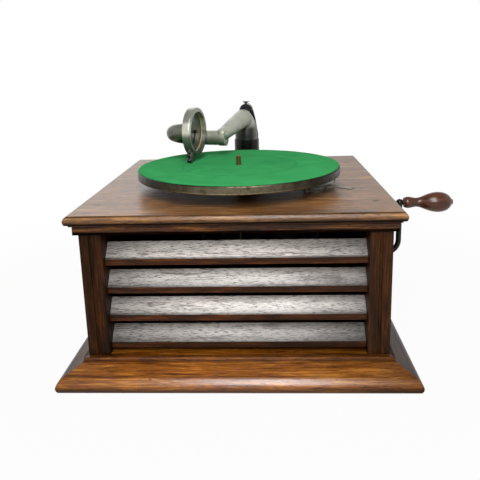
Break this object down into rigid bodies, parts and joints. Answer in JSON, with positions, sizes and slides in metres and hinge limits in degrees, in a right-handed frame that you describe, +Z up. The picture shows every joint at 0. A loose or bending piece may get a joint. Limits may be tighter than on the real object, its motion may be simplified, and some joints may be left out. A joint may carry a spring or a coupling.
{
  "type": "table gramophone",
  "caption": "Spring-driven table gramophone: louvred wooden case with an inside horn, felt-topped turntable, tapering tone arm with a swivelling sound box, brake and side crank.",
  "frame": {"origin": "centre of the underside of the case's base", "axes": "+X towards the crank side, +Y towards the back where the tone arm stands, +Z up"},
  "size_m": [0.5607, 0.4856, 0.3482],
  "materials": {
    "amber_wood": "varnished",
    "dark_wood": "varnished",
    "slat_wood": "worn",
    "top_wood": "varnished",
    "inner_wood": "plain",
    "knob_wood": "polished",
    "nickel": "worn plating",
    "steel": "satin",
    "dark_steel": "browned",
    "brass": "satin",
    "cast_plate": "machined",
    "black_japan": "gloss",
    "grey_casting": "satin",
    "green_felt": "felt",
    "leather": "worn",
    "rubber": "matte",
    "mica": "cloudy"
  },
  "bodies": {
    "cabinet": {"base_moulding_front_back": "amber_wood", "base_moulding_sides": "amber_wood", "bottom_board": "inner_wood", "corner_posts": "dark_wood", "side_panel_left": "dark_wood", "side_panel_right": "dark_wood", "back_panel": "dark_wood", "top_rails_front_back": "dark_wood", "top_rails_sides": "dark_wood", "louvre_slat_1": "slat_wood", "louvre_slat_2": "slat_wood", "louvre_slat_3": "slat_wood", "louvre_slat_4": "slat_wood", "top_board": "top_wood", "board_screws": "steel", "horn_lid": "inner_wood", "horn_cheeks": "inner_wood", "horn_throat": "black_japan", "motor_bedplate": "cast_plate", "motor_pillars": "steel", "motor_bottom_plate": "cast_plate", "motor_screws": "steel", "motor_washers": "rubber", "crank_escutcheon": "nickel", "arm_bracket": "black_japan", "bracket_screws": "steel", "arm_pivot_screw": "steel", "brake_pivot_screw": "steel"},
    "turntable": {"platter": "nickel", "felt_mat": "green_felt", "turntable_spindle": "dark_steel"},
    "barrel": {"barrel_drum": "steel", "barrel_lid": "steel", "mainspring": "dark_steel"},
    "arbor": {"barrel_arbor": "steel", "winding_bevel_wheel": "cast_plate"},
    "pawl": {"ratchet_pawl": "steel"},
    "intermediate": {"intermediate_arbor": "steel", "intermediate_wheel": "brass"},
    "governor": {"governor_shaft": "steel", "governor_disc": "brass", "governor_springs": "steel", "governor_weights": "brass"},
    "winder": {"winding_shaft": "steel"},
    "crank": {"crank_arm": "black_japan", "crank_pin": "steel"},
    "knob": {"crank_knob": "knob_wood"},
    "arm": {"tone_arm": "grey_casting"},
    "sound_box": {"neck_tube": "nickel", "sound_box_housing": "nickel", "sound_box_ring": "nickel", "diaphragm_gaskets": "rubber", "diaphragm": "mica", "stylus_bar": "dark_steel"},
    "thumbscrew": {"needle_screw": "nickel"},
    "brake": {"brake_lever": "nickel", "brake_pad": "leather"},
    "regulator": {"regulator_lever": "steel", "regulator_pad": "leather"},
    "speed_knob": {"speed_screw": "brass"}
  },
  "joints": [
    {"name": "turntable_spin", "type": "hinge", "parent": "cabinet", "child": "turntable", "pos_m": [0, -0.042, 0.26255], "axis": [0, 0, 1], "continuous": true},
    {"name": "intermediate_turn", "type": "hinge", "parent": "cabinet", "child": "intermediate", "pos_m": [0.02552, -0.01452, 0.192], "axis": [0, 0, 1], "continuous": true},
    {"name": "barrel_turn", "type": "hinge", "parent": "cabinet", "child": "barrel", "pos_m": [0.072, -0.042, 0.152], "axis": [0, 0, 1], "continuous": true},
    {"name": "governor_turn", "type": "hinge", "parent": "cabinet", "child": "governor", "pos_m": [-0.028, -0.021, 0.17855], "axis": [0, 0, 1], "continuous": true},
    {"name": "winding_turn", "type": "hinge", "parent": "cabinet", "child": "winder", "pos_m": [0.1103, -0.042, 0.12], "axis": [1, 0, 0], "continuous": true},
    {"name": "arbor_turn", "type": "hinge", "parent": "cabinet", "child": "arbor", "pos_m": [0.072, -0.042, 0.134], "axis": [0, 0, 1], "continuous": true},
    {"name": "pawl_lift", "type": "hinge", "parent": "cabinet", "child": "pawl", "pos_m": [0.054, -0.02, 0.1472], "axis": [0, 0, 1], "range_deg": [-8, 3]},
    {"name": "crank_withdraw", "type": "slide", "parent": "winder", "child": "crank", "axis": [1, 0, 0], "range_m": [0, 0.045]},
    {"name": "knob_spin", "type": "hinge", "parent": "crank", "child": "knob", "pos_m": [0.2444, -0.042, 0.2005], "axis": [1, 0, 0], "continuous": true},
    {"name": "arm_swing", "type": "hinge", "parent": "cabinet", "child": "arm", "pos_m": [0.0055, 0.165, 0.2623], "axis": [0, 0, 1], "range_deg": [-40, 12]},
    {"name": "sound_box_lift", "type": "hinge", "parent": "arm", "child": "sound_box", "pos_m": [-0.024, 0.04375, 0.29429], "axis": [-0.967, 0.2546, 0], "range_deg": [0, 105]},
    {"name": "needle_screw_turn", "type": "hinge", "parent": "sound_box", "child": "thumbscrew", "pos_m": [-0.07662, -0.02177, 0.27187], "axis": [-0.2047, -0.7774, 0.5948], "range_deg": [0, 360]},
    {"name": "brake_swing", "type": "hinge", "parent": "cabinet", "child": "brake", "pos_m": [0.09999, -0.096, 0.2341], "axis": [0, 0, 1], "range_deg": [0, 12]},
    {"name": "speed_turn", "type": "hinge", "parent": "cabinet", "child": "speed_knob", "pos_m": [-0.12346, 0.07446, 0.2323], "axis": [0, 0, 1], "range_deg": [0, 360]},
    {"name": "regulator_tilt", "type": "hinge", "parent": "cabinet", "child": "regulator", "pos_m": [-0.06689, 0.01789, 0.1609], "axis": [-0.7071, -0.7071, 0], "range_deg": [0, 0.6]}
  ],
  "couplings": [
    {"joint": "intermediate_turn", "follows": "turntable_spin", "ratio": -0.25},
    {"joint": "barrel_turn", "follows": "turntable_spin", "ratio": 0.05},
    {"joint": "governor_turn", "follows": "turntable_spin", "ratio": -6},
    {"joint": "arbor_turn", "follows": "winding_turn", "ratio": 0.5},
    {"joint": "regulator_tilt", "follows": "speed_turn", "ratio": 0.0013889}
  ]
}
